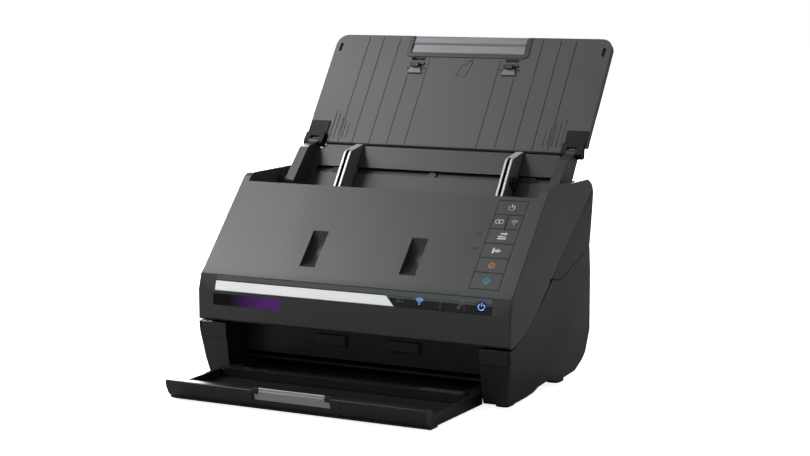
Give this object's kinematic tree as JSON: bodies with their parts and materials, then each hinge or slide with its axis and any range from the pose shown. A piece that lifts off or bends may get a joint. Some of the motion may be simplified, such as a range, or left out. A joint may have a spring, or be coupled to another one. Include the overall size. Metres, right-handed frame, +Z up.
{
  "type": "sheet-fed document scanner",
  "caption": "Desktop sheet-fed photo and document scanner: sloping front with keys, folding input tray with edge guides, opening cover over the paper path, pull-out output tray.",
  "frame": {"origin": "on the desk, under the middle of the whole object's box with both trays out as modelled", "axes": "+Z up, -Y towards the front where the sheets come out, +X to the scanner's right seen from the front"},
  "size_m": [0.296, 0.3288, 0.2864],
  "materials": {
    "charcoal_plastic": "satin moulded charcoal, very fine grain",
    "black_plastic": "matt black moulded, fine grain",
    "lid_grey": "satin dark grey moulded, fine grain",
    "silver_plastic": "metallic silver paint on plastic, satin",
    "guide_grey": "satin mid grey moulded",
    "bright_band": "bright silver-white gloss trim",
    "dark_window": "polished smoked window",
    "clear_glass": "polished glass strip",
    "rubber": "matt black rubber",
    "steel": "turned and plated steel",
    "circuit_board": "green solder resist"
  },
  "bodies": {
    "base": {"base_housing": "black_plastic", "rear_cover": "black_plastic", "column_cap_left": "black_plastic", "column_cap_right": "black_plastic", "exit_panel": "black_plastic", "lower_frame": "black_plastic", "lower_glass": "clear_glass", "lower_sensor_bar": "black_plastic", "foot_front_left": "rubber", "foot_front_right": "rubber", "foot_rear_left": "rubber", "foot_rear_right": "rubber", "power_inlet": "black_plastic", "usb_port": "steel", "main_board": "circuit_board", "feed_motor": "steel", "drive_belt": "rubber", "tray_bracket_left": "black_plastic", "tray_bracket_right": "black_plastic"},
    "feed_axle": {"feed_shaft": "steel", "feed_tyre_left": "rubber", "feed_tyre_right": "rubber"},
    "drive_axle": {"drive_roller": "rubber"},
    "exit_axle": {"exit_roller": "rubber"},
    "motor_axle": {"motor_pulley": "steel"},
    "cover": {"scanner_cover": "charcoal_plastic", "hopper_floor": "black_plastic", "upper_frame": "black_plastic", "upper_sensor_bar": "black_plastic", "upper_glass": "clear_glass", "status_band": "bright_band", "status_window": "dark_window", "control_board": "circuit_board"},
    "separation_axle": {"separation_roller": "rubber"},
    "drive_pinch_axle": {"drive_pinch_roller": "rubber"},
    "exit_pinch_axle": {"exit_pinch_roller": "rubber"},
    "power_button": {"button_power": "charcoal_plastic"},
    "link_button": {"button_link": "charcoal_plastic"},
    "wifi_button": {"button_wifi": "charcoal_plastic"},
    "slow_feed_button": {"button_slow_feed": "charcoal_plastic"},
    "skip_button": {"button_skip": "charcoal_plastic"},
    "stop_button": {"button_stop": "charcoal_plastic"},
    "start_button": {"button_start": "charcoal_plastic"},
    "release_lever": {"cover_release_lever": "black_plastic"},
    "chute": {"tray_chute": "black_plastic", "chute_back": "black_plastic"},
    "left_guide": {"edge_guide_left": "guide_grey"},
    "right_guide": {"edge_guide_right": "guide_grey"},
    "guide_gear": {"guide_pinion": "black_plastic"},
    "lid": {"tray_lid": "lid_grey", "lid_bracket_left": "black_plastic", "lid_bracket_right": "black_plastic", "lid_catch_left": "black_plastic", "lid_catch_right": "black_plastic"},
    "extension": {"tray_extension": "silver_plastic"},
    "output_inner": {"output_tray": "black_plastic"},
    "output_outer": {"output_extension": "black_plastic"},
    "stopper": {"paper_stopper": "silver_plastic"}
  },
  "joints": [
    {"name": "cover_opens", "type": "hinge", "parent": "base", "child": "cover", "pos_m": [0, -0.06869, 0.056], "axis": [-1, 0, 0], "range_deg": [-60, 0]},
    {"name": "tray_folds", "type": "hinge", "parent": "base", "child": "chute", "pos_m": [0, 0.05296, 0.15721], "axis": [1, 0, 0], "range_deg": [0, 124.5]},
    {"name": "lid_folds", "type": "hinge", "parent": "chute", "child": "lid", "pos_m": [0, 0.09301, 0.1897], "axis": [1, 0, 0], "range_deg": [0, 47.9]},
    {"name": "extension_slides", "type": "slide", "parent": "lid", "child": "extension", "axis": [0, -0.5664, -0.8241], "range_m": [-0.06, 0]},
    {"name": "left_guide_slides", "type": "slide", "parent": "chute", "child": "left_guide", "axis": [-1, 0, 0], "range_m": [-0.0515, 0.0315]},
    {"name": "right_guide_slides", "type": "slide", "parent": "chute", "child": "right_guide", "axis": [1, 0, 0], "range_m": [-0.0515, 0.0315]},
    {"name": "guide_gear_turns", "type": "hinge", "parent": "chute", "child": "guide_gear", "pos_m": [0, 0.07932, 0.16695], "axis": [0, -0.8241, 0.5664], "range_deg": [-480, 780]},
    {"name": "feed_turns", "type": "hinge", "parent": "base", "child": "feed_axle", "pos_m": [0, 0.0511, 0.1093], "axis": [1, 0, 0], "continuous": true},
    {"name": "drive_turns", "type": "hinge", "parent": "base", "child": "drive_axle", "pos_m": [0, 0.03421, 0.09179], "axis": [1, 0, 0], "continuous": true},
    {"name": "exit_turns", "type": "hinge", "parent": "base", "child": "exit_axle", "pos_m": [0, 0.01382, 0.06212], "axis": [1, 0, 0], "continuous": true},
    {"name": "motor_turns", "type": "hinge", "parent": "base", "child": "motor_axle", "pos_m": [0, 0.05931, 0.05], "axis": [1, 0, 0], "continuous": true},
    {"name": "separation_turns", "type": "hinge", "parent": "cover", "child": "separation_axle", "pos_m": [0, 0.03437, 0.1208], "axis": [1, 0, 0], "continuous": true},
    {"name": "drive_pinch_turns", "type": "hinge", "parent": "cover", "child": "drive_pinch_axle", "pos_m": [0, 0.02325, 0.09932], "axis": [1, 0, 0], "continuous": true},
    {"name": "exit_pinch_turns", "type": "hinge", "parent": "cover", "child": "exit_pinch_axle", "pos_m": [0, 0.00285, 0.06965], "axis": [1, 0, 0], "continuous": true},
    {"name": "power_button_presses", "type": "slide", "parent": "cover", "child": "power_button", "axis": [0, 0.742, -0.6704], "range_m": [0, 0.001], "stiffness_N_per_m": 300, "springref_m": -0.0003},
    {"name": "link_button_presses", "type": "slide", "parent": "cover", "child": "link_button", "axis": [0, 0.742, -0.6704], "range_m": [0, 0.001], "stiffness_N_per_m": 300, "springref_m": -0.0003},
    {"name": "wifi_button_presses", "type": "slide", "parent": "cover", "child": "wifi_button", "axis": [0, 0.742, -0.6704], "range_m": [0, 0.001], "stiffness_N_per_m": 300, "springref_m": -0.0003},
    {"name": "slow_feed_button_presses", "type": "slide", "parent": "cover", "child": "slow_feed_button", "axis": [0, 0.742, -0.6704], "range_m": [0, 0.001], "stiffness_N_per_m": 300, "springref_m": -0.0003},
    {"name": "skip_button_presses", "type": "slide", "parent": "cover", "child": "skip_button", "axis": [0, 0.742, -0.6704], "range_m": [0, 0.001], "stiffness_N_per_m": 300, "springref_m": -0.0003},
    {"name": "stop_button_presses", "type": "slide", "parent": "cover", "child": "stop_button", "axis": [0, 0.742, -0.6704], "range_m": [0, 0.001], "stiffness_N_per_m": 300, "springref_m": -0.0003},
    {"name": "start_button_presses", "type": "slide", "parent": "cover", "child": "start_button", "axis": [0, 0.742, -0.6704], "range_m": [0, 0.001], "stiffness_N_per_m": 300, "springref_m": -0.0003},
    {"name": "release_lever_slides", "type": "slide", "parent": "cover", "child": "release_lever", "axis": [0, 0.7694, 0.6388], "range_m": [0, 0.006], "stiffness_N_per_m": 120, "springref_m": -0.002},
    {"name": "output_tray_slides", "type": "slide", "parent": "base", "child": "output_inner", "axis": [0, 1, 0], "range_m": [0, 0.03]},
    {"name": "output_extension_slides", "type": "slide", "parent": "output_inner", "child": "output_outer", "axis": [0, 1, 0], "range_m": [0, 0.0575]},
    {"name": "stopper_flips", "type": "hinge", "parent": "output_outer", "child": "stopper", "pos_m": [0, -0.14939, 0.0122], "axis": [1, 0, 0], "range_deg": [-95, 0]}
  ],
  "couplings": [
    {"joint": "right_guide_slides", "follows": "left_guide_slides", "ratio": 1},
    {"joint": "guide_gear_turns", "follows": "left_guide_slides", "rad_per_m": -259.74},
    {"joint": "drive_turns", "follows": "feed_turns", "ratio": 1.5714},
    {"joint": "exit_turns", "follows": "feed_turns", "ratio": 1.5714},
    {"joint": "motor_turns", "follows": "feed_turns", "ratio": 2.3571},
    {"joint": "separation_turns", "follows": "feed_turns", "ratio": -1.2222},
    {"joint": "drive_pinch_turns", "follows": "feed_turns", "ratio": -1.8333},
    {"joint": "exit_pinch_turns", "follows": "feed_turns", "ratio": -1.8333}
  ]
}
